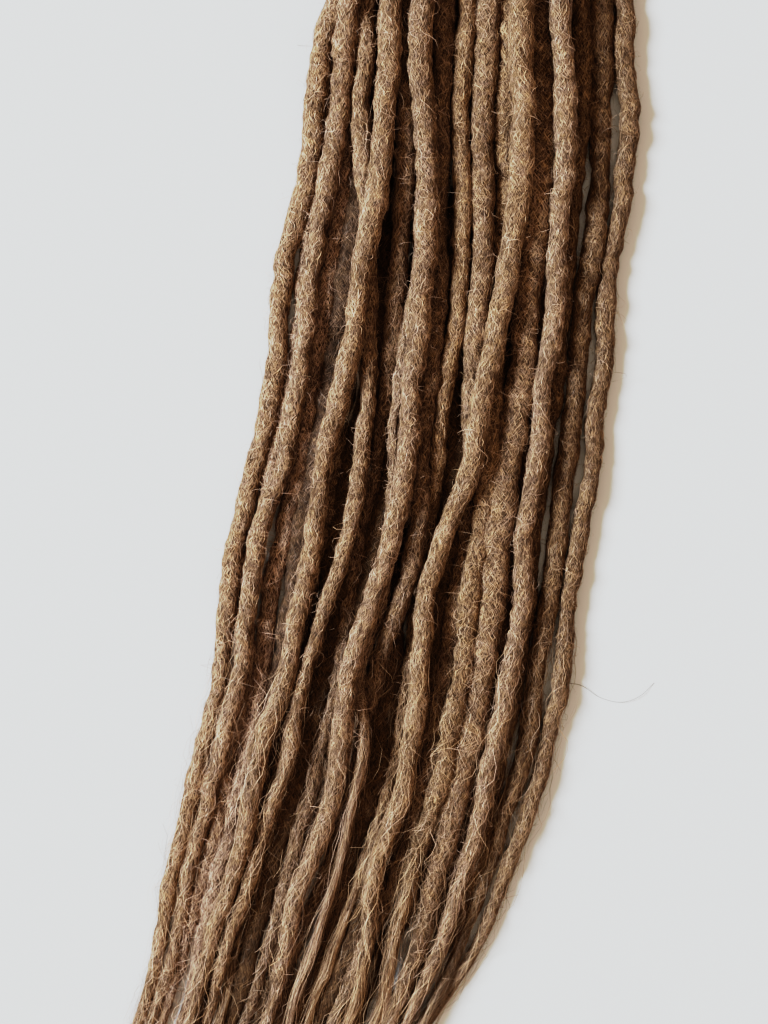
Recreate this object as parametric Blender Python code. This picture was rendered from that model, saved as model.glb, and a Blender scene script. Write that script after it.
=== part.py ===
"""A hank of crocheted dreadlock extensions, lying flat, with a hair elastic round it near the root ends.

Metres, +Z up. The hank lies along Y, with the root ends at +Y and the tips at -Y. The origin is
the middle of the flat underside of the elastic, which lies on the table at Z = 0.
"""

import math
from collections import namedtuple

import bpy
import numpy as np

# Driving dimensions of the hank
REACH = 0.473  # from the elastic to the longest tip, along Y
ROOT_LENGTH = 0.025  # from the elastic to the blunt root ends
ROOT_STAGGER = 0.004  # how far the root ends differ from each other
HALF_SPREAD = 0.053  # the widest place, from the middle of the hank to its outer locks
HALF_GATHER = 0.028  # the same inside the elastic
FLARE = 0.2  # the most that a lock slopes outwards as it leaves the elastic
SWEEP = 0.090  # how far the tips drift sideways, towards -X

# Driving dimensions of a lock
LOCK_DIAMETER = 0.0060  # an average lock at mid length
TIP_DIAMETER = 0.0016
TAPER_LENGTH = 0.110  # the stretch that thins out to the tip
ROOT_ROUNDING = 0.0016  # the length of the rounded blunt end
ROOT_END_SHARES = (0.5, 0.95)  # the blunt end's radius at its tip and where its rounding starts
TAPER_POWER = 0.8  # under 1, a lock stays full for longer before it thins out
WAVE = 0.0011  # how far a lock wanders to each side of its way
WAVE_LENGTH = 0.085
LUMP = 0.05  # how much the felted lumps change a lock's radius
LAY_GAP = 0.00035  # between locks that lie on each other
SEGMENT = 0.021  # from one cross-section to the next
SIDES_RESOLUTION = 2  # a curve's bevel_resolution, which gives 8 sides

# Driving dimensions of the elastic
TIE_WIDTH = 0.008
TIE_THICKNESS = 0.0018
TIE_GAP = 0.0003  # between the elastic and the locks that it holds
TIE_LEAD = 0.002  # the locks run straight this far past its edges
TIE_STEPS = 48  # directions round its outline

# The hank's middle line and spread at seven places on its way from the elastic to the tips.
# along is a share of REACH, drift of SWEEP, spread of HALF_SPREAD and girth of LOCK_DIAMETER.
Section = namedtuple("Section", "along drift spread girth")
SECTIONS = (
    Section(0.20, 0.03, 0.85, 1.12),
    Section(0.33, 0.09, 0.93, 1.06),
    Section(0.46, 0.19, 0.96, 1.00),
    Section(0.59, 0.30, 0.99, 0.97),
    Section(0.73, 0.44, 0.98, 0.92),
    Section(0.79, 0.53, 0.96, 0.88),
    Section(0.86, 0.69, 0.85, 0.84),
)
TIPS = Section(1.00, 1.00, 0.66, 0.80)

# The locks in the order in which they lie on each other, the lowest first.
# girth is a share of the hank's own girth and length a share of REACH. across is the lock's
# place in each section, from -1 at the hank's -X edge to +1 at its +X edge.
Lock = namedtuple("Lock", "girth length across")
LOCKS = (
    Lock(0.90, 0.95, (-0.60, -0.62, -0.62, -0.62, -0.62, -0.60, -0.58)),
    Lock(1.00, 0.97, (-0.42, -0.44, -0.44, -0.44, -0.44, -0.42, -0.40)),
    Lock(0.90, 0.93, (-0.20, -0.20, -0.22, -0.24, -0.26, -0.25, -0.22)),
    Lock(1.00, 0.96, (0.00, 0.02, 0.00, -0.02, 0.00, 0.02, 0.04)),
    Lock(0.95, 0.94, (0.20, 0.20, 0.20, 0.22, 0.22, 0.22, 0.26)),
    Lock(0.90, 0.97, (0.38, 0.40, 0.42, 0.44, 0.46, 0.48, 0.52)),
    Lock(0.95, 0.95, (0.58, 0.58, 0.60, 0.62, 0.66, 0.68, 0.72)),
    Lock(0.90, 0.96, (-0.22, -0.10, 0.00, 0.00, -0.09, -0.10, -0.04)),
    Lock(0.66, 0.95, (-0.92, -0.88, -0.88, -0.90, -0.81, -0.83, -0.83)),
    Lock(0.80, 0.98, (-0.55, -0.52, -0.50, -0.46, -0.48, -0.52, -0.40)),
    Lock(0.86, 0.96, (0.69, 0.72, 0.76, 0.80, 0.81, 0.80, 0.90)),
    Lock(0.80, 0.99, (0.14, 0.23, 0.34, 0.42, 0.42, 0.45, 0.66)),
    Lock(1.05, 0.98, (0.43, 0.46, 0.49, 0.53, 0.57, 0.56, 0.78)),
    Lock(0.85, 0.97, (-0.83, -0.74, -0.71, -0.73, -0.73, -0.75, -0.71)),
    Lock(0.90, 0.99, (-0.49, -0.36, -0.27, -0.30, -0.37, -0.35, -0.30)),
    Lock(1.05, 1.00, (0.08, 0.10, 0.22, 0.30, 0.30, 0.28, 0.36)),
    Lock(0.95, 0.97, (1.00, 1.00, 1.00, 1.00, 1.00, 1.00, 1.00)),
    Lock(0.94, 0.98, (-1.00, -1.00, -1.00, -1.00, -1.00, -1.00, -1.00)),
    Lock(1.00, 0.96, (0.88, 0.84, 0.85, 0.86, 0.87, 0.87, 0.96)),
    Lock(0.90, 0.99, (-0.76, -0.60, -0.38, -0.42, -0.55, -0.56, -0.50)),
    Lock(1.20, 0.97, (0.26, 0.34, 0.30, 0.18, 0.22, 0.24, 0.44)),
    Lock(0.70, 0.98, (-0.44, -0.27, -0.19, -0.07, -0.02, -0.02, 0.08)),
    Lock(0.90, 1.00, (-0.08, -0.02, 0.08, 0.06, 0.14, 0.16, 0.20)),
    Lock(0.90, 0.98, (-0.88, -0.83, -0.82, -0.87, -0.87, -0.90, -0.91)),
    Lock(1.15, 0.99, (-0.60, -0.50, -0.54, -0.58, -0.62, -0.63, -0.58)),
    Lock(1.15, 1.00, (-0.38, -0.21, -0.08, -0.10, -0.18, -0.20, -0.12)),
    Lock(1.10, 0.98, (0.49, 0.60, 0.64, 0.68, 0.72, 0.72, 0.86)),
)

# How the locks settle on each other
FALL = 0.00018  # how far a lock sinks in one step
PULL = 0.08  # how much of its sideways miss a lock makes up in one step
STIFFNESS = 0.24  # how much of a bend straightens in one step
SHARE_OF_PUSH = 0.24  # how much of an overlap each of two locks backs off in one step
SETTLING_STEPS = 280
CLEARING_STEPS = 200
BETWEEN = (0.25, 0.5, 0.75)  # where locks are kept clear between two cross-sections

STRAIGHT = TIE_WIDTH / 2 + TIE_LEAD
rng = np.random.default_rng(27)


def cross_sections():
    """The Y of each cross-section that every lock passes through, from the roots to the tips."""
    below = max(4, round((REACH - STRAIGHT) / SEGMENT))
    return np.concatenate(
        [[ROOT_LENGTH, STRAIGHT], np.linspace(-STRAIGHT, -REACH, below + 1)]
    )


def curve_through(at, stations, values):
    """A smooth curve through the values at the stations, read at other places. It is level past them."""
    at = np.clip(at, stations[0], stations[-1])
    slopes = np.gradient(values, stations)
    i = np.clip(np.searchsorted(stations, at, side="right") - 1, 0, len(stations) - 2)
    step = np.diff(stations)[i]
    t = (at - np.take(stations, i)) / step
    start, end = np.take(values, i), np.take(values, i + 1)
    rise = start + (end - start) * t**2 * (3 - 2 * t)
    lean = (slopes[i] * (1 - t) - slopes[i + 1] * t) * t * (1 - t)
    return rise + step * lean


def chosen_ways(y):
    """Where each lock would run, in X, if the others left it room."""
    along = [0.0] + [s.along * REACH for s in SECTIONS] + [REACH]
    ways = []
    for lock in LOCKS:
        across = lock.across + lock.across[-1:]
        places = [
            s.drift * -SWEEP + s.spread * HALF_SPREAD * share
            for s, share in zip(SECTIONS + (TIPS,), across)
        ]
        way = curve_through(-y, along, [lock.across[0] * HALF_GATHER] + places)
        phase = rng.uniform(0, math.tau, 2)
        wave = np.sin(math.tau * y / WAVE_LENGTH + phase[0])
        wave += 0.5 * np.sin(math.tau * y / (0.6 * WAVE_LENGTH) + phase[1])
        ways.append(way + WAVE * wave * np.clip(-y / (2 * WAVE_LENGTH), 0, 1))
    return np.array(ways)


def radii(y):
    """Each lock's radius in each cross-section. Past its tip the others keep clear as of the tip."""
    stations = SECTIONS + (TIPS,)
    girth = np.interp(
        -y, [s.along * REACH for s in stations], [s.girth for s in stations]
    )
    found = []
    for lock in LOCKS:
        lumps = 1 + LUMP * rng.uniform(-1, 1, len(y))
        full = LOCK_DIAMETER / 2 * lock.girth * girth * lumps
        left = lock.length * REACH + y
        thinned = np.clip(left / TAPER_LENGTH, 0, 1) ** TAPER_POWER
        found.append(TIP_DIAMETER / 2 + (full - TIP_DIAMETER / 2) * thinned)
    return np.array(found)


def with_between(values):
    """The values in the cross-sections, followed by those at each share of the way to the next."""
    parts = [values]
    for share in BETWEEN:
        parts.append(values[:, :-1] * (1 - share) + values[:, 1:] * share)
    return np.concatenate(parts, axis=1)


def pushes(x, z, y, radius):
    """How far the locks have to back off from each other, in X and in Z."""
    px, pz, pr = with_between(x), with_between(z), with_between(radius)
    slopes = []
    for values in (x, z):
        steps = [np.diff(values, axis=1) / np.diff(y)] * len(BETWEEN)
        slopes.append(np.concatenate([np.gradient(values, y, axis=1)] + steps, axis=1))
    sx, sz = slopes
    dx = px[:, None] - px[None]
    dz = pz[:, None] - pz[None]
    apart = dx**2 + dz**2 + 1e-12
    # The distance square to a lock is shorter than the one within a cross-section.
    leaning = (dx * sx[:, None] + dz * sz[:, None]) ** 2 / (1 + sx**2 + sz**2)[:, None]
    leaning = np.maximum(leaning, leaning.transpose(1, 0, 2))
    square = np.sqrt(np.maximum(apart - leaning, 1e-12))
    overlap = pr[:, None] + pr[None] + LAY_GAP - square
    np.einsum("iij->ij", overlap)[:] = 0
    overlap = np.maximum(overlap, 0)
    push = SHARE_OF_PUSH * overlap / square
    rows = len(y)
    moves = []
    for d in (dx, dz):
        parts = np.split(
            (push * d).sum(axis=1), rows + (rows - 1) * np.arange(len(BETWEEN)), axis=1
        )
        move = parts[0].copy()
        for share, part in zip(BETWEEN, parts[1:]):
            move[:, :-1] += part * (1 - share)
            move[:, 1:] += part * share
        moves.append(move)
    return moves


def straightened(values):
    """The values with their bends eased, the first and last as they are."""
    eased = values.copy()
    bend = values[:, :-2] + values[:, 2:] - 2 * values[:, 1:-1]
    eased[:, 1:-1] += STIFFNESS * bend
    return eased


def laid_locks():
    """Lays the locks on each other in their order and lets them settle.

    Returns the Y of the cross-sections, and each lock's X, Z and radius in them.
    """
    y = cross_sections()
    way = chosen_ways(y)
    radius = radii(y)
    in_tie = np.abs(y) <= STRAIGHT
    floor = np.where(in_tie, TIE_THICKNESS + TIE_GAP, 0.0) + radius
    drawn_in = HALF_GATHER + FLARE * np.maximum(np.abs(y) - STRAIGHT, 0)
    drawn_in[y < -SECTIONS[0].along * REACH] = math.inf
    x, z = np.clip(way, -drawn_in, drawn_in), floor.copy()
    for i in range(1, len(LOCKS)):
        for j in range(i):
            need = radius[i] + radius[j] + LAY_GAP
            across = np.abs(x[i] - x[j])
            lift = np.sqrt(np.maximum(need**2 - across**2, 0))
            z[i] = np.where(across < need, np.maximum(z[i], z[j] + lift), z[i])
    for step in range(SETTLING_STEPS + CLEARING_STEPS):
        if step < SETTLING_STEPS:
            x = way + (1 - PULL) * straightened(x - way)
            z = straightened(z - FALL)
        move_x, move_z = pushes(x, z, y, radius)
        x = x + move_x
        z = z + move_z
        # The locks run straight through the elastic.
        for values in (x, z):
            values[:, 1] = values[:, 2] = (values[:, 1] + values[:, 2]) / 2
        x = np.clip(x, -drawn_in, drawn_in)
        z = np.maximum(z, floor)
    return y, x, z, radius


def felt_material():
    material = bpy.data.materials.new("felted_hair")
    material.use_nodes = True
    shader = material.node_tree.nodes["Principled BSDF"]
    shader.inputs["Base Color"].default_value = (0.24, 0.13, 0.07, 1)
    shader.inputs["Roughness"].default_value = 0.75
    shader.inputs["Metallic"].default_value = 0.0
    return material


def elastic_material():
    material = bpy.data.materials.new("elastic")
    material.use_nodes = True
    shader = material.node_tree.nodes["Principled BSDF"]
    shader.inputs["Base Color"].default_value = (0.03, 0.022, 0.018, 1)
    shader.inputs["Roughness"].default_value = 0.85
    shader.inputs["Metallic"].default_value = 0.0
    return material


def lock_points(number, y, x, z, radius):
    """A lock's own points and radii, from its rounded root end to its tip."""
    lock = LOCKS[number]
    root = ROOT_LENGTH - ROOT_STAGGER * rng.uniform(0, 1)
    tip = -lock.length * REACH
    # The last cross-section before the tip is left out where it would crowd the tip.
    inside = (y < root - 2 * ROOT_ROUNDING) & (y > tip + 0.3 * SEGMENT)
    own_y = np.concatenate([[root, root - ROOT_ROUNDING], y[inside], [tip]])
    own_x = np.interp(-own_y, -y, x[number])
    own_z = np.interp(-own_y, -y, z[number])
    own_r = np.interp(-own_y, -y, radius[number])
    own_r[:2] = radius[number][0] * np.array(ROOT_END_SHARES)
    own_r[-1] = TIP_DIAMETER / 2
    return own_x, own_y, own_z, own_r


def make_lock(number, collection, material, laid):
    own_x, own_y, own_z, own_r = lock_points(number, *laid)
    name = f"lock_{number + 1:02d}"
    curve = bpy.data.curves.new(name, "CURVE")
    curve.dimensions = "3D"
    curve.bevel_depth = LOCK_DIAMETER / 2
    curve.bevel_resolution = SIDES_RESOLUTION
    curve.use_fill_caps = True
    spline = curve.splines.new("POLY")
    spline.points.add(len(own_y) - 1)
    for point, px, py, pz, pr in zip(spline.points, own_x, own_y, own_z, own_r):
        point.co = (px, py, pz, 1)
        point.radius = pr / curve.bevel_depth
    spline.use_smooth = True
    curve.materials.append(material)
    collection.objects.link(bpy.data.objects.new(name, curve))


def outline_round(discs, margin):
    """The closed line that runs round a set of discs, this far outside them."""
    line = []
    for k in range(TIE_STEPS):
        turn = math.tau * (k + 0.5) / TIE_STEPS
        cx, cz, r = max(
            discs, key=lambda d: d[0] * math.cos(turn) + d[1] * math.sin(turn) + d[2]
        )
        line.append(
            (cx + (r + margin) * math.cos(turn), cz + (r + margin) * math.sin(turn))
        )
    return line


def make_tie(collection, material, laid):
    """The elastic: a flat ring, wound tight round the locks, whose underside lies on the table."""
    _, x, z, radius = laid
    discs = list(zip(x[:, 1], z[:, 1], radius[:, 1:3].max(axis=1)))
    curve = bpy.data.curves.new("tie_band", "CURVE")
    curve.dimensions = "2D"
    curve.fill_mode = "BOTH"
    curve.extrude = TIE_WIDTH / 2
    for margin, lowest in ((TIE_GAP + TIE_THICKNESS, 0.0), (TIE_GAP, TIE_THICKNESS)):
        line = outline_round(discs, margin)
        bottom = min(pz for _, pz in line)
        spline = curve.splines.new("POLY")
        spline.points.add(len(line) - 1)
        spline.use_cyclic_u = True
        for point, (px, pz) in zip(spline.points, line):
            flat = pz < bottom + TIE_GAP / 2
            point.co = (px, lowest if flat else pz, 0, 1)
    curve.materials.append(material)
    tie = bpy.data.objects.new("tie_band", curve)
    tie.rotation_euler = (math.pi / 2, 0, 0)
    collection.objects.link(tie)


for leftover in list(bpy.data.objects):
    bpy.data.objects.remove(leftover, do_unlink=True)

hank = bpy.data.collections.new("dreadlock_extension")
bpy.context.scene.collection.children.link(hank)
laid = laid_locks()
felt = felt_material()
for number in range(len(LOCKS)):
    make_lock(number, hank, felt, laid)
make_tie(hank, elastic_material(), laid)
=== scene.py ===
"""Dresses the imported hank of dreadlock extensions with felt, single hairs and a knitted elastic.

Metres, in the frame's own coordinates: +Y runs to the root ends and the table lies at Z = 0.
"""

import math
from collections import namedtuple

import bpy
import numpy as np
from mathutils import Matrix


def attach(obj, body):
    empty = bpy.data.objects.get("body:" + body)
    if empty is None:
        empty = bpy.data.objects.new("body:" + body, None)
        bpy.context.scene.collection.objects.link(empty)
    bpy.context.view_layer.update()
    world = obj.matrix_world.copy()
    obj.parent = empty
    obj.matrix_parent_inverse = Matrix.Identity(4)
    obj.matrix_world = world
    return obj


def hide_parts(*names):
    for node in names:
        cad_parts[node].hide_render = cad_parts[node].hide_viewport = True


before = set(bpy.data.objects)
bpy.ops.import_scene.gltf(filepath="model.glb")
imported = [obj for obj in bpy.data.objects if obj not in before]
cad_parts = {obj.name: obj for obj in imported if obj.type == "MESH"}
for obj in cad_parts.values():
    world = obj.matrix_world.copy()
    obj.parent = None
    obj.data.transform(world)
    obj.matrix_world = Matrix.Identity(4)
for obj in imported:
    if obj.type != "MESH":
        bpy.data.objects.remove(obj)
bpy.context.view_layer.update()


# Table and daylight. The hank lies on a pale matt table top. Soft, cool daylight comes in low
# from the left, and the room itself gives back a warm light that fills the shadows. The camera
# looks straight down on 320 mm of the table, and its tone curve darkens the deep shadows.
VIEW_HEIGHT = 0.320
VIEW_MIDDLE = (-0.0319, -0.2531, 0.0)
CAMERA_DISTANCE = 0.45
CAMERA_SENSOR = 36.0  # millimetres
CAMERA_CLIP = 0.01
DAYLIGHT_FROM = (-1.0, 0.22, 0.76)
DAYLIGHT_SPREAD = 0.34  # radians
DAYLIGHT_COLOUR = (0.79, 0.917, 1.0)
DAYLIGHT_STRENGTH = 6.45
ROOM_LIGHT = (0.595, 0.482, 0.37, 1)
ROOM_WALL = (0.74, 0.74, 0.73, 1)
TABLE_SIDE = 6.0
TABLE_COLOUR = (0.735, 0.751, 0.765, 1)
TABLE_ROUGHNESS = 0.6

# From the light that reaches the camera to what the picture shows, up to white.
Tone = namedtuple("Tone", "light shown")
TONES = (
    Tone(0.01, 0.0022),
    Tone(0.03, 0.0100),
    Tone(0.10, 0.070),
    Tone(0.25, 0.280),
    Tone(0.45, 0.53),
    Tone(0.70, 0.64),
    Tone(1.25, 0.745),
)
WHITE = Tone(2.0, 0.92)

camera_data = bpy.data.cameras.new("camera")
camera_data.sensor_width = CAMERA_SENSOR
camera_data.lens = CAMERA_SENSOR * CAMERA_DISTANCE / VIEW_HEIGHT
camera_data.clip_start = CAMERA_CLIP
camera = bpy.data.objects.new("camera", camera_data)
camera.location = (VIEW_MIDDLE[0], VIEW_MIDDLE[1], CAMERA_DISTANCE)
bpy.context.scene.collection.objects.link(camera)
bpy.context.scene.camera = camera

view = bpy.context.scene.view_settings
view.view_transform = "Standard"
view.use_curve_mapping = True
view.curve_mapping.white_level = (WHITE.light,) * 3
tone_curve = view.curve_mapping.curves[3]  # the one for all three colours
tone_curve.points[1].location = (1.0, WHITE.shown)
for tone in TONES:
    tone_curve.points.new(tone.light / WHITE.light, tone.shown)
view.curve_mapping.update()

daylight_data = bpy.data.lights.new("daylight", "SUN")
daylight_data.angle = DAYLIGHT_SPREAD
daylight_data.color = DAYLIGHT_COLOUR
daylight_data.energy = DAYLIGHT_STRENGTH
daylight = bpy.data.objects.new("daylight", daylight_data)
daylight.location = DAYLIGHT_FROM
daylight.rotation_euler = daylight.location.to_track_quat("Z", "Y").to_euler()
bpy.context.scene.collection.objects.link(daylight)


def wired(tree, kind, inputs, **settings):
    """A new shader node with its settings. Each of its inputs takes a value or a socket."""
    node = tree.nodes.new(kind)
    for key, value in settings.items():
        setattr(node, key, value)
    for key, value in inputs.items():
        if isinstance(value, bpy.types.NodeSocket):
            tree.links.new(value, node.inputs[key])
        else:
            node.inputs[key].default_value = value
    return node


def mixed(tree, factor, first, second):
    """A mix of two colours."""
    inputs = {"Factor": factor, "A": first, "B": second}
    return wired(tree, "ShaderNodeMix", inputs, data_type="RGBA").outputs["Result"]


def new_finish(name):
    """A new material, its node tree and its shader."""
    material = bpy.data.materials.new(name)
    material.use_nodes = True
    return material, material.node_tree, material.node_tree.nodes["Principled BSDF"]


room = bpy.data.worlds.new("room")
room.use_nodes = True
bpy.context.scene.world = room
seen = wired(room.node_tree, "ShaderNodeLightPath", {}).outputs["Is Camera Ray"]
room_colour = mixed(room.node_tree, seen, ROOM_LIGHT, ROOM_WALL)
room.node_tree.links.new(room_colour, room.node_tree.nodes["Background"].inputs["Color"])

bpy.ops.mesh.primitive_plane_add(size=TABLE_SIDE, location=VIEW_MIDDLE)
table = bpy.context.object
table.name = "table_top"
table_paint, _, shader = new_finish("table_paint")
shader.inputs["Base Color"].default_value = TABLE_COLOUR
shader.inputs["Roughness"].default_value = TABLE_ROUGHNESS
table.data.materials.append(table_paint)


# Felted locks. Each lock is a rope of real hair, backcombed and then pulled through itself
# with a fine crochet hook until it felts. It is lumpy, hair ends and loops lie across it in
# every direction, and its last stretch thins out into straight, loose, lighter hair.
RING_STEP = 0.0013  # from one ring of the felt's skin to the next
SIDES = 14
SOLID_RING_GAP = 0.004  # the solid's rings lie further apart than this
SKIN_SHARES = (0.96, 0.87)  # of the solid's radius, at the root and at the tip
LEAST_RADIUS = 0.0002
ROOT_ROUND = 0.003  # the length over which the blunt root end rounds off
TABLE_CLEARANCE = 0.00005
Sway = namedtuple("Sway", "length aside up")
SWAYS = (Sway(0.020, 0.00055, 0.00035), Sway(0.008, 0.00034, 0.00025))
Lump = namedtuple("Lump", "length count depth")
LUMPS = (Lump(0.0130, 3, 0.00028), Lump(0.0056, 4, 0.00040), Lump(0.0034, 6, 0.00046))
TWIST = 14.0  # turns in a lock's lumps, give or take
LOOSE_BLEND = 0.03  # the stretch over which felt turns into loose hair
LOOSE_EVENNESS = 0.5  # how much of its lumps loose hair loses
LOOSE_THINNING = 0.15  # how much of its radius loose hair loses
TIP_SPREAD = 0.2  # how fast hairs part from each other past the tip

# The map that colours are read on. The felt takes its left part, in columns, with the round
# ends above them. The right part holds the hairs, the darkest at its left side, in rows
# from the ashy ones to the golden ones.
MAP_COLUMNS = 6
COLUMN_MARGIN = 0.02
FELT_WIDTH = 0.78
FELT_HEIGHT = 0.97
END_PLACES = ((0.02, 0.986), (0.05, 0.986))
END_SIZE = 0.008
HAIRS_MARGIN = 0.03
HAIR_WIDTH_ON_MAP = 0.002
TINT_ROWS = 4
ROW_SHARE = 0.9  # the share of a row's height that its hairs take

# Kinds of hair on a lock: how many, how long and wide, how far they rise, how far they turn
# from the lock's own way, how strongly they bend, in how many points, from which share of
# the lock's length to which, how much longer they get in the loose hair, how much lighter
# than the felt they are painted for the light they catch (painted light), and what share of
# them is ashy.
HAIR_FIELDS = "count length width lift crossing bend points first last growth pale ashy"
Hairs = namedtuple("Hairs", HAIR_FIELDS)
MATTED = Hairs(
    count=4000, length=(0.0014, 0.0042), width=(0.00010, 0.00018), lift=0.00010, crossing=0.32,
    bend=0.8, points=3, first=0, last=0.985, growth=2.2, pale=0, ashy=0,
)
FUZZ = Hairs(
    count=620, length=(0.0018, 0.0042), width=(0.00005, 0.00009), lift=0.00036, crossing=0.7,
    bend=1.5, points=3, first=0, last=0.985, growth=0, pale=0.15, ashy=0.5,
)
LOOPS = Hairs(
    count=420, length=(0.0040, 0.0090), width=(0.00006, 0.00010), lift=0.00115, crossing=0.6,
    bend=5.0, points=7, first=0, last=0.97, growth=0, pale=0.12, ashy=0.9,
)
FLYAWAYS = Hairs(
    count=90, length=(0.0060, 0.0200), width=(0.00005, 0.00009), lift=0.00160, crossing=0.6,
    bend=2.4, points=8, first=0.02, last=0.95, growth=0, pale=0.1, ashy=0.9,
)
LOOSE = Hairs(
    count=210, length=(0.0160, 0.0360), width=(0.00007, 0.00012), lift=0.00170, crossing=0.12,
    bend=0.4, points=8, first=0.64, last=0.92, growth=0, pale=0, ashy=0,
)
TIP_HAIRS = Hairs(
    count=110, length=(0.0080, 0.0180), width=(0.00010, 0.00018), lift=0.0004, crossing=0.1,
    bend=0.9, points=8, first=0.955, last=0.995, growth=0, pale=0, ashy=0,
)
KINDS = (MATTED, FUZZ, LOOPS, FLYAWAYS, LOOSE, TIP_HAIRS)
HIDDEN_LOCKS = 7  # the lowest ones
HIDDEN_SHARE = 0.35  # of the hairs, on a hidden lock

# How hairs of every kind lie on a lock.
ON_TOP = 0.8  # the share of hairs on the side that faces up
TOP_REACH = 0.21  # how far round those lie from straight up, in turns, give or take
LOOSE_CALM = 0.8  # how much straighter hair gets where it is loose
CRIMP = 0.35  # how far a hair's small waves turn it, in radians
CRIMP_WAVES = 9
HAIR_BED = 0.00006  # the least height over the skin
RISE_SHAPE = 2.0
ARCHES = (0.5, 1.15)  # how much of an arch a hair makes: under 1, its end stays up
ARCH_POWER = 1.5
HAIR_TILT = 0.45  # radians, give or take
HAIR_TAPER = ((0, 0.15, 0.8, 1), (0.5, 1, 0.9, 0.3))  # along a hair, shares of its width
SHADE_SHAPE = (2.2, 2.0)
NEAREST_ROOT = 0.0005  # a share of the lock's length
THIN_LOCK = 0.001  # thinner than this, a lock turns its hairs no faster
TINY = 1e-12

# Each lock's own look, the lowest lock first: how light its hair is, with painted shade in this:
# the low and hidden locks are darker for the shade they lie in, and a few locks in the shadow of
# others are lighter to make up for it; how golden its hair is, the length at its tip that is
# loose hair, and how much wider the locks above press it.
Look = namedtuple("Look", "level gold loose wide")
LOOKS = (
    Look(0.60, 0.3, 0.03, 1.74),
    Look(0.52, 0.8, 0.03, 1.74),
    Look(0.50, 0.8, 0.03, 1.74),
    Look(0.52, 0.8, 0.03, 1.74),
    Look(0.52, 0.8, 0.03, 1.74),
    Look(0.50, 0.8, 0.03, 1.74),
    Look(0.50, 0.8, 0.03, 1.74),
    Look(0.85, 0.5, 0.08, 1.22),
    Look(1.15, 0.3, 0.06, 1.52),
    Look(0.83, 0.7, 0.09, 1.18),
    Look(0.73, 0.9, 0.08, 1.26),
    Look(0.92, 0.8, 0.13, 1.52),
    Look(0.94, 0.6, 0.09, 1.52),
    Look(1.20, 0.2, 0.06, 1.37),
    Look(0.90, 0.5, 0.07, 1.16),
    Look(0.95, 0.6, 0.08, 1.18),
    Look(0.82, 0.7, 0.08, 1.04),
    Look(1.08, 0.6, 0.07, 1.20),
    Look(0.74, 0.8, 0.08, 1.16),
    Look(1.01, 0.6, 0.07, 1.04),
    Look(1.00, 0.7, 0.09, 1.00),
    Look(1.00, 0.5, 0.16, 1.00),
    Look(0.99, 0.8, 0.135, 1.00),
    Look(1.04, 0.5, 0.07, 1.20),
    Look(1.02, 0.6, 0.08, 1.04),
    Look(1.01, 0.5, 0.08, 1.04),
    Look(1.01, 0.5, 0.08, 1.00),
)

# Hair colours from the deepest brown to the lightest, for ashy and for golden hair.
SHADES = (0.0, 0.35, 0.72, 1.0)
ASHY = (
    (0.0233, 0.0149, 0.0104),
    (0.1069, 0.0665, 0.0466),
    (0.3402, 0.2328, 0.1790),
    (0.6300, 0.4400, 0.3480),
)
GOLDEN = (
    (0.0262, 0.0149, 0.0084),
    (0.1244, 0.0726, 0.0398),
    (0.4014, 0.2661, 0.1590),
    (0.7000, 0.4780, 0.3000),
)
TINT_SPREAD = 0.7  # how far one lock's felt strays from its own gold, to each side

# The felt's fibres: streaks in two layers, which turn round the lock in opposite directions.
FIBRE_WIDTH = 0.00024
FIBRE_LENGTH = 0.0042
FIBRE_WANDER = 0.0008
WANDER_SCALE = 380.0
NOISE_MIDDLE = (0.5, 0.5, 0.5)
FIBRE_TURNS = (170.0, -120.0)  # radians in a metre of the lock
FIBRE_EDGES = (0.37, 0.68)  # of the noise: where a fibre begins, and where it is at its lightest
FIBRE_RELIEF = 0.00030

# How the felt varies: from patch to patch, from the tops of the lumps down into the hollows
# between them, which get painted shade, and from tuft to tuft. The shades are factors.
PATCH_SCALE = 70.0
PATCH_NOISE = (0.3, 0.7)
PATCH_SHADES = (0.91, 1.09)
HOLLOW_DEPTHS = (-0.25, 0.5)
HOLLOW_PAINTED_SHADES = (0.86, 0.64)
TUFT_SCALE = 420.0
TUFT_NOISE = (0.1, 0.9)
FELT_ROUGHNESS = 0.9
FELT_GLOSS = 0.2

# Single hairs are smoother than felt.
HAIR_SHADES = (0.20, 1.03)  # from the left side of their part of the map to the right
LIGHTER_END = 0.08
HAIR_ROUGHNESS = 0.5
HAIR_GLOSS = 0.3

HAIR_SEED = 7
rng = np.random.default_rng(HAIR_SEED)


def smooth_field(cells_along, cells_round):
    """A random field: a function of the shares along and round a lock, from -1 to 1."""
    grid = rng.uniform(-1, 1, (cells_along + 2, cells_round))

    def read(along, turn):
        a = np.clip(along, 0, 1) * cells_along
        b = np.mod(turn, 1) * cells_round
        i, j = np.floor(a).astype(int), np.floor(b).astype(int) % cells_round
        u, v = a - i, b - np.floor(b)
        u, v = u * u * (3 - 2 * u), v * v * (3 - 2 * v)
        k = (j + 1) % cells_round
        low = grid[i, j] * (1 - v) + grid[i, k] * v
        high = grid[i + 1, j] * (1 - v) + grid[i + 1, k] * v
        return low * (1 - u) + high * u

    return read


def curve_through(stations, points, at):
    """A smooth curve through the points at rising stations, read at other places."""
    slopes = np.gradient(points, stations, axis=0)
    i = np.clip(np.searchsorted(stations, at, side="right") - 1, 0, len(stations) - 2)
    step = (stations[i + 1] - stations[i])[:, None]
    t = (at - stations[i])[:, None] / step
    curve = points[i] + (points[i + 1] - points[i]) * t**2 * (3 - 2 * t)
    return curve + step * (slopes[i] * (1 - t) - slopes[i + 1] * t) * t * (1 - t)


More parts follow.
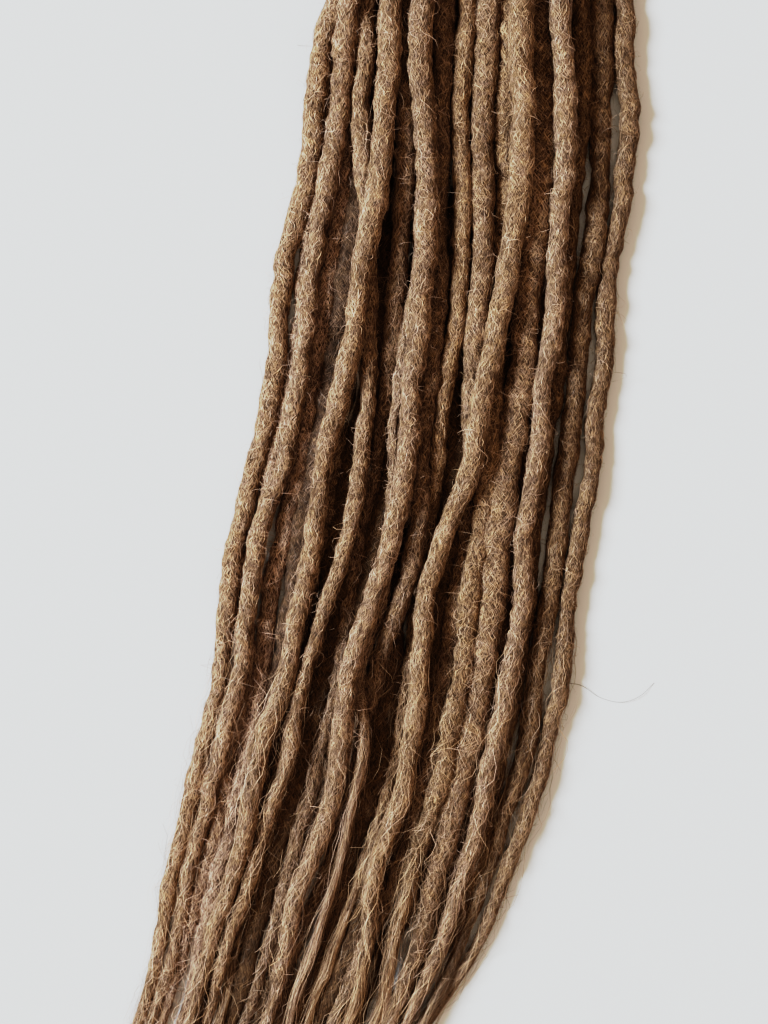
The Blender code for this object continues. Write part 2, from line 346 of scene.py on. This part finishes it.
class Rope:
    """A lock's middle line and lumpy skin, worked out from its solid in the frame."""

    def __init__(self, node, look):
        self.wide = look.wide
        self.loose = look.loose
        found = np.array([v.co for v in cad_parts[node].data.vertices])
        found = np.unique(np.round(found, 6), axis=0)
        found = found[np.argsort(-found[:, 1])]
        breaks = np.flatnonzero(-np.diff(found[:, 1]) > SOLID_RING_GAP) + 1
        rings = np.split(found, breaks)
        middles = np.array([ring.mean(axis=0) for ring in rings])
        spans = [np.linalg.norm(r - m, axis=1).max() for r, m in zip(rings, middles)]
        middles[0, 1] = found[0, 1]
        middles[-1, 1] = found[-1, 1]
        down = -middles[:, 1]
        self.count = int((down[-1] - down[0]) / RING_STEP)
        at = np.linspace(down[0], down[-1], self.count)
        line = curve_through(down, middles, at)
        self.length = np.linalg.norm(np.diff(line, axis=0), axis=1).sum()
        self.radius = np.interp(at, down, spans) * np.linspace(*SKIN_SHARES, self.count)
        self.twist = rng.normal(0, TWIST)
        self.fields = [
            (smooth_field(int(self.length / lump.length), lump.count), lump.depth)
            for lump in LUMPS
        ]
        ahead = np.gradient(line, axis=0)
        self.ahead = ahead / np.linalg.norm(ahead, axis=1)[:, None]
        up = np.array([0.0, 0.0, 1.0]) - self.ahead * self.ahead[:, 2:]
        self.up = up / np.linalg.norm(up, axis=1)[:, None]
        self.side = np.cross(self.ahead, self.up)
        along = np.linspace(0, 1, self.count)
        for sway in SWAYS:
            for axis, reach in ((self.side, sway.aside), (self.up, sway.up)):
                drift = smooth_field(int(self.length / sway.length), 1)(along, 0 * along)
                line = line + axis * (reach * drift)[:, None]
        self.line = line

    def looseness(self, along):
        """How loose the hair is here, from 0 in the felt to 1 near the tip."""
        left = (1 - along) * self.length
        return np.clip((self.loose - left) / LOOSE_BLEND, 0, 1)

    def relief(self, along, turn):
        """How far the lumps stand out here."""
        return sum(depth * field(along, turn + self.twist * along) for field, depth in self.fields)

    def skin(self, along, turn):
        """The radius of the lumpy skin at these shares along and round the lock."""
        place = np.clip(along, 0, 1) * (self.count - 1)
        plain = np.interp(place, np.arange(self.count), self.radius)
        loose = self.looseness(along)
        girth = plain / self.radius.max() * (1 - LOOSE_EVENNESS * loose)
        plain = plain * (1 - LOOSE_THINNING * loose)
        root = np.sqrt(np.clip(along * self.length / ROOT_ROUND, 0, 1))
        return np.maximum((plain + self.relief(along, turn) * girth) * root, LEAST_RADIUS)

    def point(self, along, turn, height):
        """Places this far outside the skin, and the way straight out from the lock there."""
        place = np.clip(along, 0, 1) * (self.count - 1)
        i = np.minimum(place.astype(int), self.count - 2)
        t = (place - i)[..., None]
        past = (np.maximum(along - 1, 0) * self.length)[..., None]
        line = self.line[i] * (1 - t) + self.line[i + 1] * t + self.ahead[i] * past
        angle = math.tau * turn[..., None]
        out = self.up[i] * np.cos(angle) + self.side[i] * np.sin(angle) * self.wide
        reach = (self.skin(along, turn) + height)[..., None] + TIP_SPREAD * past
        places = line + out * reach
        places[..., 2] = np.maximum(places[..., 2], TABLE_CLEARANCE)
        return places, out


# Faces between rows of points, with their places on the map and the material slot that they
# take, and what the materials read at each point: its place on the straightened lock, how
# loose the hair is there, and how deep it lies between the lumps, which the felt darkens
# as painted shade.
Strip = namedtuple("Strip", "points faces uv slot place loose hollow")


def felt_skin(rope):
    """The felt's skin, with its two round ends closed."""
    along = np.linspace(0, 1, rope.count)[:, None] + np.zeros(SIDES)
    turn = np.arange(SIDES) / SIDES + np.zeros((rope.count, 1))
    points, _ = rope.point(along, turn, np.zeros_like(along))
    i, j = np.meshgrid(np.arange(rope.count - 1), np.arange(SIDES), indexing="ij")
    i, j = i.ravel(), j.ravel()
    k = (j + 1) % SIDES
    below = (i + 1) * SIDES
    faces = np.stack([i * SIDES + k, i * SIDES + j, below + j, below + k], 1)
    rows = math.ceil((rope.count - 1) / MAP_COLUMNS)
    column = FELT_WIDTH / MAP_COLUMNS
    left = column * (i // rows + COLUMN_MARGIN)
    across = (1 - 2 * COLUMN_MARGIN) * column / SIDES
    u0, u1 = left + across * j, left + across * (j + 1)
    v0 = FELT_HEIGHT * (i % rows) / rows
    v1 = v0 + FELT_HEIGHT / rows
    uv = np.array([[u1, v0], [u0, v0], [u0, v1], [u1, v1]]).transpose(2, 0, 1)
    fan = np.arange(SIDES // 2 - 1)[:, None] * 2 + np.array([0, 1, 2, 3])
    fan[:, 0] = 0
    ends, end_uv = [], []
    for ring, (u, v) in zip((0, rope.count - 1), END_PLACES):
        order = fan if ring == 0 else fan[:, ::-1]
        ends.append(order + ring * SIDES)
        angle = math.tau * order / SIDES
        end_uv.append(np.stack([u + END_SIZE * np.cos(angle), v + END_SIZE * np.sin(angle)], 2))
    reach = rope.skin(along, turn)
    place = np.stack(
        [reach * np.sin(math.tau * turn), along * rope.length, reach * np.cos(math.tau * turn)], 2
    )
    # How deep the skin lies between the lumps, which the felt's material darkens as painted shade.
    hollow = -rope.relief(along, turn) / sum(lump.depth for lump in LUMPS)
    return Strip(
        points.reshape(-1, 3),
        np.concatenate([faces, *ends]),
        np.concatenate([uv, *end_uv]),
        0,
        place.reshape(-1, 3),
        rope.looseness(along).ravel(),
        hollow.ravel(),
    )


def ribbons(points, outward, widths, shade, tint):
    """Flat ribbons along rows of points, each at its own shade's and tint's place on the map."""
    count, steps = points.shape[:2]
    ahead = np.gradient(points, axis=1)
    side = np.cross(ahead, outward)
    side /= np.linalg.norm(side, axis=2)[..., None] + TINY
    rise = np.cross(side, ahead)
    rise /= np.linalg.norm(rise, axis=2)[..., None] + TINY
    tilt = rng.normal(0, HAIR_TILT, count)[:, None, None]
    half = (side * np.cos(tilt) + rise * np.sin(tilt)) * widths[..., None] / 2
    both = np.stack([points - half, points + half], axis=2)
    both[..., 2] = np.maximum(both[..., 2], TABLE_CLEARANCE)
    first = (np.arange(count)[:, None] * steps * 2 + np.arange(steps - 1) * 2).ravel()
    faces = np.stack([first, first + 1, first + 3, first + 2], 1)
    from_left = HAIRS_MARGIN + (1 - 2 * HAIRS_MARGIN) * np.clip(shade, 0, 1)
    u0 = FELT_WIDTH + (1 - FELT_WIDTH) * from_left
    u0 = np.repeat(u0 - HAIR_WIDTH_ON_MAP / 2, steps - 1)
    v0 = (tint[:, None] + ROW_SHARE * np.arange(steps - 1) / (steps - 1)).ravel() / TINT_ROWS
    u1, v1 = u0 + HAIR_WIDTH_ON_MAP, v0 + ROW_SHARE / (steps - 1) / TINT_ROWS
    uv = np.array([[u0, v0], [u1, v0], [u1, v1], [u0, v1]]).transpose(2, 0, 1)
    nothing = np.zeros(both.size // 3)
    return Strip(both.reshape(-1, 3), faces, uv, 1, np.zeros((len(nothing), 3)), nothing, nothing)


def hairs_on(rope, kind, share):
    """Hairs of one kind, bent and curled, which lie on a lock or rise off it."""
    count = int(kind.count * share)
    start = rng.uniform(kind.first, kind.last, count)[:, None]
    loose = rope.looseness(start)
    length = rng.uniform(*kind.length, count)[:, None] * (1 + kind.growth * loose)
    width = rng.uniform(*kind.width, count)[:, None]
    turn = np.where(rng.random(count) < ON_TOP, rng.normal(0, TOP_REACH, count), rng.random(count))
    t = np.linspace(0, 1, kind.points)[None]
    calm = 1 - LOOSE_CALM * loose
    heading = rng.normal(0, kind.crossing, count)[:, None] * calm
    bend = rng.normal(0, kind.bend, count)[:, None] * calm
    crimp = rng.uniform(0, math.tau, count)[:, None]
    angle = heading + bend * (t - 0.5) + CRIMP * calm * np.sin(CRIMP_WAVES * t + crimp)
    step = length / (kind.points - 1)
    run = np.cumsum(np.cos(angle), axis=1) * step - np.cos(angle) * step
    roll = np.cumsum(np.sin(angle), axis=1) * step - np.sin(angle) * step
    along = np.maximum(start + run / rope.length, NEAREST_ROOT)
    radius = np.interp(start * (rope.count - 1), np.arange(rope.count), rope.radius)
    around = turn[:, None] + roll / (math.tau * np.maximum(radius, THIN_LOCK))
    rise = rng.gamma(RISE_SHAPE, kind.lift / RISE_SHAPE, count)[:, None]
    arch = rng.uniform(*ARCHES, count)[:, None]
    height = HAIR_BED + rise * np.sin(math.pi * np.clip(t * arch, 0, 1)) ** ARCH_POWER
    points, out = rope.point(along, around, height)
    # Fuzz, loops and fly-aways are made lighter: painted light, for the light they catch over the
    # dark gaps.
    shade = rng.beta(*SHADE_SHAPE, count) + kind.pale
    tint = rng.integers(0, TINT_ROWS, count) * (rng.random(count) > kind.ashy)
    return ribbons(points, out, width * np.interp(t, *HAIR_TAPER), shade, tint)


def hair_piece(name, strips, materials):
    """One mesh from several strips, with its map and what its materials read of its shape."""
    starts = np.cumsum([0] + [len(strip.points) for strip in strips[:-1]])
    points = np.concatenate([strip.points for strip in strips])
    faces = np.concatenate([strip.faces + start for strip, start in zip(strips, starts)])
    slots = np.concatenate([np.full(len(strip.faces), strip.slot) for strip in strips])
    mesh = bpy.data.meshes.new(name)
    mesh.vertices.add(len(points))
    mesh.vertices.foreach_set("co", points.ravel())
    mesh.loops.add(faces.size)
    mesh.loops.foreach_set("vertex_index", faces.ravel())
    mesh.polygons.add(len(faces))
    mesh.polygons.foreach_set("loop_start", np.arange(len(faces)) * 4)
    mesh.polygons.foreach_set("material_index", slots.astype(np.int32))
    mesh.polygons.foreach_set("use_smooth", np.ones(len(faces), bool))
    layer = mesh.uv_layers.new(name="OFBake")
    layer.data.foreach_set("uv", np.concatenate([strip.uv for strip in strips]).ravel())
    straight = mesh.attributes.new("straightened", "FLOAT_VECTOR", "POINT")
    straight.data.foreach_set("vector", np.concatenate([s.place for s in strips]).ravel())
    for key in ("loose", "hollow"):
        values = mesh.attributes.new(key, "FLOAT", "POINT")
        values.data.foreach_set("value", np.concatenate([getattr(s, key) for s in strips]))
    for material in materials:
        mesh.materials.append(material)
    mesh.update(calc_edges=True)
    piece = bpy.data.objects.new(name, mesh)
    bpy.context.scene.collection.objects.link(piece)
    return piece


def new_group(name, inputs, outputs):
    """An empty shader node group, what it is given and what it puts out."""
    group = bpy.data.node_groups.new(name, "ShaderNodeTree")
    for key, kind in inputs.items():
        group.interface.new_socket(key, in_out="INPUT", socket_type=kind)
    for key, kind in outputs.items():
        group.interface.new_socket(key, in_out="OUTPUT", socket_type=kind)
    return group, group.nodes.new("NodeGroupInput").outputs, group.nodes.new("NodeGroupOutput").inputs


def worked_out(tree, operation, first, second=0.0):
    """The result of a math node."""
    return wired(tree, "ShaderNodeMath", {0: first, 1: second}, operation=operation).outputs[0]


def ranged(tree, value, given, wanted=(0.0, 1.0)):
    """A value moved from the given range to the wanted one, and kept inside it."""
    inputs = {"Value": value, "From Min": given[0], "From Max": given[1]}
    inputs.update({"To Min": wanted[0], "To Max": wanted[1]})
    return wired(tree, "ShaderNodeMapRange", inputs).outputs["Result"]


def noise(tree, place, scale, detail):
    """A noise texture at this place."""
    return wired(tree, "ShaderNodeTexNoise", {"Vector": place, "Scale": scale, "Detail": detail})


def shade_group():
    """Hair colour from its shade and its lock's tone (painted shade in part): ashy and golden scales
    mixed.
    """
    group, given, result = new_group(
        "hair_shade",
        {"Shade": "NodeSocketFloat", "Gold": "NodeSocketFloat", "Level": "NodeSocketFloat"},
        {"Color": "NodeSocketColor"},
    )
    # The lock's tone, which is partly painted shade, scales the shade.
    shade = worked_out(group, "MULTIPLY", given["Shade"], given["Level"])
    scales = []
    for colours in (ASHY, GOLDEN):
        scale = wired(group, "ShaderNodeValToRGB", {"Fac": shade})
        for _ in SHADES[2:]:
            scale.color_ramp.elements.new(0.5)
        for stop, at, colour in zip(scale.color_ramp.elements, SHADES, colours):
            stop.position = at
            stop.color = (*colour, 1)
        scales.append(scale.outputs["Color"])
    group.links.new(mixed(group, given["Gold"], *scales), result["Color"])
    return group


def fibre_group():
    """Felted fibres as streaks that run along a lock and cross each other, from 0 to 1."""
    group, given, result = new_group(
        "felted_fibres",
        {
            "Place": "NodeSocketVector",
            "Straightness": "NodeSocketFloat",
            "Fibre Width": "NodeSocketFloat",
            "Fibre Length": "NodeSocketFloat",
        },
        {"Fibres": "NodeSocketFloat"},
    )
    wander = wired(
        group,
        "ShaderNodeVectorMath",
        {0: noise(group, given["Place"], WANDER_SCALE, detail=1.0).outputs["Color"], 1: NOISE_MIDDLE},
        operation="SUBTRACT",
    )
    moved = wired(
        group,
        "ShaderNodeVectorMath",
        {0: wander.outputs["Vector"], 1: (FIBRE_WANDER,) * 3, 2: given["Place"]},
        operation="MULTIPLY_ADD",
    )
    across = worked_out(group, "DIVIDE", 1.0, given["Fibre Width"])
    lengthwise = worked_out(group, "DIVIDE", 1.0, given["Fibre Length"])
    scale = wired(group, "ShaderNodeCombineXYZ", {"X": across, "Y": lengthwise, "Z": across})
    along = wired(group, "ShaderNodeSeparateXYZ", {"Vector": given["Place"]}).outputs["Y"]
    crossed = worked_out(group, "SUBTRACT", 1.0, given["Straightness"])
    layers = []
    for turns in FIBRE_TURNS:
        angle = worked_out(group, "MULTIPLY", worked_out(group, "MULTIPLY", along, turns), crossed)
        turned = wired(
            group,
            "ShaderNodeVectorRotate",
            {"Vector": moved.outputs["Vector"], "Angle": angle},
            rotation_type="Y_AXIS",
        )
        scaled = wired(
            group,
            "ShaderNodeVectorMath",
            {0: turned.outputs["Vector"], 1: scale.outputs["Vector"], 2: (turns, turns, 0.0)},
            operation="MULTIPLY_ADD",
        )
        streaks = noise(group, scaled.outputs["Vector"], scale=1.0, detail=1.5)
        streaks.inputs["Roughness"].default_value = 0.6
        layers.append(streaks.outputs["Fac"])
    either = worked_out(group, "MAXIMUM", *layers)
    group.links.new(ranged(group, either, FIBRE_EDGES), result["Fibres"])
    return group


hair_shade = shade_group()
felted_fibres = fibre_group()


def felt_material(name, look):
    """The felt under the hairs: matt, streaked with crossing fibres, with painted shade in its
    hollows.
    """
    material, tree, shader = new_finish(name)
    place = wired(tree, "ShaderNodeAttribute", {}, attribute_name="straightened").outputs["Vector"]
    loose = wired(tree, "ShaderNodeAttribute", {}, attribute_name="loose").outputs["Fac"]
    hollow = wired(tree, "ShaderNodeAttribute", {}, attribute_name="hollow").outputs["Fac"]
    given = {
        "Place": place,
        "Straightness": loose,
        "Fibre Width": FIBRE_WIDTH,
        "Fibre Length": FIBRE_LENGTH,
    }
    fibres = wired(tree, "ShaderNodeGroup", given, node_tree=felted_fibres).outputs["Fibres"]
    patches = noise(tree, place, PATCH_SCALE, detail=2.0).outputs["Fac"]
    patchy = ranged(tree, patches, PATCH_NOISE, PATCH_SHADES)
    # Painted shade: the felt is darker the deeper it lies between the lumps.
    hollow_painted_shade = ranged(tree, hollow, HOLLOW_DEPTHS, HOLLOW_PAINTED_SHADES)
    shade = worked_out(tree, "MULTIPLY", worked_out(tree, "MULTIPLY", fibres, hollow_painted_shade), patchy)
    tufts = noise(tree, place, TUFT_SCALE, detail=1.0).outputs["Fac"]
    gold = ranged(tree, tufts, TUFT_NOISE, (look.gold - TINT_SPREAD, look.gold + TINT_SPREAD))
    colour = wired(
        tree,
        "ShaderNodeGroup",
        {"Shade": shade, "Gold": gold, "Level": look.level},
        node_tree=hair_shade,
    )
    tree.links.new(colour.outputs["Color"], shader.inputs["Base Color"])
    bump = wired(
        tree, "ShaderNodeBump", {"Height": fibres, "Strength": 0.9, "Distance": FIBRE_RELIEF}
    )
    tree.links.new(bump.outputs["Normal"], shader.inputs["Normal"])
    shader.inputs["Roughness"].default_value = FELT_ROUGHNESS
    shader.inputs["Specular IOR Level"].default_value = FELT_GLOSS
    return material


def hair_material(name, look):
    """Single hairs. Their place on the map gives shade and tint, and their ends are lighter."""
    material, tree, shader = new_finish(name)
    place = wired(tree, "ShaderNodeUVMap", {}, uv_map="OFBake").outputs["UV"]
    parts = wired(tree, "ShaderNodeSeparateXYZ", {"Vector": place})
    shade = ranged(tree, parts.outputs["X"], (FELT_WIDTH, 1.0), HAIR_SHADES)
    rows = worked_out(tree, "MULTIPLY", parts.outputs["Y"], float(TINT_ROWS))
    lighter = worked_out(tree, "MULTIPLY", worked_out(tree, "FRACT", rows), LIGHTER_END)
    row = worked_out(tree, "FLOOR", rows)
    reach = TINT_SPREAD / 2
    gold = ranged(tree, row, (0.0, TINT_ROWS - 1.0), (look.gold - reach, look.gold + reach))
    total = worked_out(tree, "ADD", shade, lighter)
    colour = wired(
        tree,
        "ShaderNodeGroup",
        {"Shade": total, "Gold": gold, "Level": look.level},
        node_tree=hair_shade,
    )
    tree.links.new(colour.outputs["Color"], shader.inputs["Base Color"])
    shader.inputs["Roughness"].default_value = HAIR_ROUGHNESS
    shader.inputs["Specular IOR Level"].default_value = HAIR_GLOSS
    return material


lock_nodes = sorted(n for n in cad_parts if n.startswith("lock_"))
for number, (node, look) in enumerate(zip(lock_nodes, LOOKS)):
    rope = Rope(node, look)
    share = HIDDEN_SHARE if number < HIDDEN_LOCKS else 1.0
    strips = [felt_skin(rope)]
    strips += [hairs_on(rope, kind, share) for kind in KINDS]
    materials = [felt_material("felt_" + node, look), hair_material("hairs_" + node, look)]
    piece = hair_piece(node + "_felted", strips, materials)
    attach(piece, "root")
    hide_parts(node)


# Stray hair. A long single hair has slipped out of the hank. It starts under the outer lock
# and lies on the table beside it, in a few slack bends.
STRAY_PATH_MM = (
    (20.5, -306.5),
    (29.0, -307.0),
    (35.5, -311.0),
    (42.0, -312.5),
    (48.0, -310.5),
    (52.5, -306.5),
)
STRAY_LIFT = 0.0004
STRAY_RIPPLE = 2.1  # radians from one bend to the next
STRAY_WIDTH = 0.00014
STRAY_POINTS = 40
STRAY_SHADE = 0.3
STRAY_LOOK = Look(0.55, 0.5, 0.0, 1.0)

bends = np.array(STRAY_PATH_MM) / 1000
at = np.linspace(0, len(bends) - 1, STRAY_POINTS)
path = curve_through(np.arange(len(bends)), bends, at)
lift = STRAY_LIFT * (1 + np.sin(at * STRAY_RIPPLE)) + TABLE_CLEARANCE
stray = np.column_stack([path, lift])[None]
upward = np.zeros_like(stray) + np.array([0.0, 0.0, 1.0])
widths = np.full((1, STRAY_POINTS), STRAY_WIDTH)
strip = ribbons(stray, upward, widths, np.array([STRAY_SHADE]), np.array([0]))
stray_piece = hair_piece(
    "stray_hair", [strip._replace(slot=0)], [hair_material("hair_stray", STRAY_LOOK)]
)
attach(stray_piece, "root")


# Hair elastic. A flat band of knitted elastic, doubled round the hank near its root ends. It is
# woven in five ribs that run along it, of dark brown thread over rubber.
BAND_NODE = "tie_band"
BAND_STEPS = 260
BAND_SIDES = 40
INNER_STEPS = 1040
BAND_RIBS = 5
RIB_DEPTH = 0.22  # of half the band's thickness
GROOVE_POWER = 3  # the higher, the narrower the grooves between ribs
EDGE_POWER = 0.35  # the smaller, the squarer the band's edges
ENDWAYS = 0.5  # a face that looks more than this along the hank is at the band's end
THREAD = ((0.014, 0.008, 0.005, 1), (0.13, 0.078, 0.052, 1))
STITCH = 0.0008
WAVE_BAND = 0.314  # from one band of a wave texture to the next, at a scale of 1
THREAD_FUZZ = 2600.0  # the scale of its noise
THREAD_RELIEF = 0.0003
ELASTIC_ROUGHNESS = 0.8

band_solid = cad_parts[BAND_NODE].data
corners = np.array([v.co for v in band_solid.vertices])
low, high = corners.min(axis=0), corners.max(axis=0)
centre = ((low + high) / 2)[[0, 2]]


def way_round(places):
    """The directions in which these places lie from the band's centre."""
    return np.arctan2(places[:, 1] - centre[1], places[:, 0] - centre[0])


def outline(side, steps):
    """The band's outer (1) or inner (-1) outline at even steps, and its length."""
    found = set()
    for face in band_solid.polygons:
        outwards = np.dot(np.array(face.normal)[[0, 2]], np.array(face.center)[[0, 2]] - centre)
        if abs(face.normal.y) < ENDWAYS and side * outwards > 0:
            found.update(tuple(np.round(corners[v][[0, 2]], 6)) for v in face.vertices)
    ring = np.array(sorted(found))
    ring = ring[np.argsort(way_round(ring))]
    ring = np.vstack([ring, ring[:1]])
    at = np.append(0, np.cumsum(np.linalg.norm(np.diff(ring, axis=0), axis=1)))
    even = np.linspace(0, at[-1], steps, endpoint=False)
    return np.column_stack([np.interp(even, at, ring[:, 0]), np.interp(even, at, ring[:, 1])]), at[-1]


outer_line, loop_length = outline(1, BAND_STEPS)
inner_line, _ = outline(-1, INNER_STEPS)
ways = way_round(outer_line)
inner_reach = np.linalg.norm(inner_line - centre, axis=1)
reach = np.interp(ways, way_round(inner_line), inner_reach, period=math.tau)
inner_line = centre + reach[:, None] * np.column_stack([np.cos(ways), np.sin(ways)])
middle = (inner_line + outer_line) / 2
outward = (outer_line - inner_line) / 2
angle = math.tau * np.arange(BAND_SIDES) / BAND_SIDES
across = np.sign(np.cos(angle)) * np.abs(np.cos(angle)) ** EDGE_POWER
through = np.sign(np.sin(angle)) * np.abs(np.sin(angle)) ** EDGE_POWER
grooves = np.abs(np.cos(math.pi * BAND_RIBS * (across + 1) / 2)) ** GROOVE_POWER
through *= 1 - RIB_DEPTH * grooves
points = np.empty((BAND_STEPS, BAND_SIDES, 3))
points[..., [0, 2]] = middle[:, None] + outward[:, None] * through[:, None]
points[..., 1] = (low[1] + high[1]) / 2 + across * (high[1] - low[1]) / 2
i, j = np.meshgrid(np.arange(BAND_STEPS), np.arange(BAND_SIDES), indexing="ij")
row, next_row = i * BAND_SIDES, (i + 1) % BAND_STEPS * BAND_SIDES
next_j = (j + 1) % BAND_SIDES
faces = np.stack([row + j, row + next_j, next_row + next_j, next_row + j], -1).reshape(-1, 4)
band_mesh = bpy.data.meshes.new("hair_elastic")
band_mesh.from_pydata(points.reshape(-1, 3).tolist(), [], faces.tolist())
band_mesh.polygons.foreach_set("use_smooth", np.ones(len(faces), bool))
woven = band_mesh.attributes.new("woven", "FLOAT_VECTOR", "POINT")
woven_place = np.stack([i / BAND_STEPS * loop_length, points[..., 1], 0.0 * j], -1)
woven.data.foreach_set("vector", woven_place.reshape(-1))
band = bpy.data.objects.new("hair_elastic", band_mesh)
bpy.context.scene.collection.objects.link(band)

elastic, tree, shader = new_finish("knitted_elastic")
place = wired(tree, "ShaderNodeAttribute", {}, attribute_name="woven").outputs["Vector"]
stitches = wired(
    tree,
    "ShaderNodeTexWave",
    {
        "Vector": place,
        "Scale": WAVE_BAND / STITCH,
        "Distortion": 1.6,
        "Detail": 2.0,
        "Detail Scale": 1.5,
    },
    bands_direction="DIAGONAL",
).outputs["Fac"]
fuzz = noise(tree, place, THREAD_FUZZ, detail=2.0).outputs["Fac"]
knit = worked_out(tree, "MULTIPLY", stitches, fuzz)
tree.links.new(mixed(tree, knit, *THREAD), shader.inputs["Base Color"])
raised = wired(tree, "ShaderNodeBump", {"Height": knit, "Strength": 0.8, "Distance": THREAD_RELIEF})
tree.links.new(raised.outputs["Normal"], shader.inputs["Normal"])
shader.inputs["Roughness"].default_value = ELASTIC_ROUGHNESS
band_mesh.materials.append(elastic)
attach(band, "root")
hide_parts(BAND_NODE)
